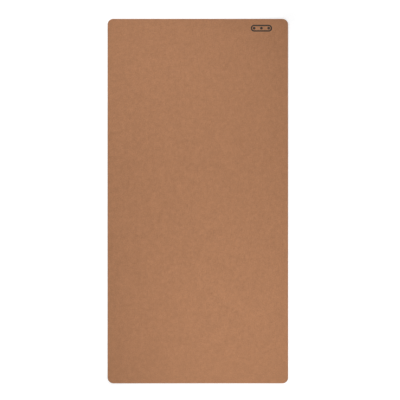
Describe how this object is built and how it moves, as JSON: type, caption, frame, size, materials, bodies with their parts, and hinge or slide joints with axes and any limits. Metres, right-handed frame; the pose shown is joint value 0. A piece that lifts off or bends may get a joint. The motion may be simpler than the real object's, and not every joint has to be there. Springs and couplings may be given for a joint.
{
  "type": "desk mat",
  "caption": "Flat rectangular desk mat with rounded corners: grained brown artificial leather working face laminated over a cork underside.",
  "frame": {"origin": "middle of the cork underside, on the surface that the mat lies on", "axes": "+Z out of the working face, +Y along the long side towards the end with the mark, +X across to the side with the mark"},
  "size_m": [0.396, 0.8, 0.002],
  "materials": {
    "leather_face": "matte",
    "mark_pigment": "satin",
    "pu_foam": "matte",
    "backing_cloth": "matte",
    "adhesive": "satin",
    "cork": "matte"
  },
  "bodies": {
    "root": {"cork_base": "cork", "bond_film": "adhesive", "backing_cloth": "backing_cloth", "foam_layer": "pu_foam", "wear_skin": "leather_face", "printed_mark": "mark_pigment"}
  },
  "joints": []
}
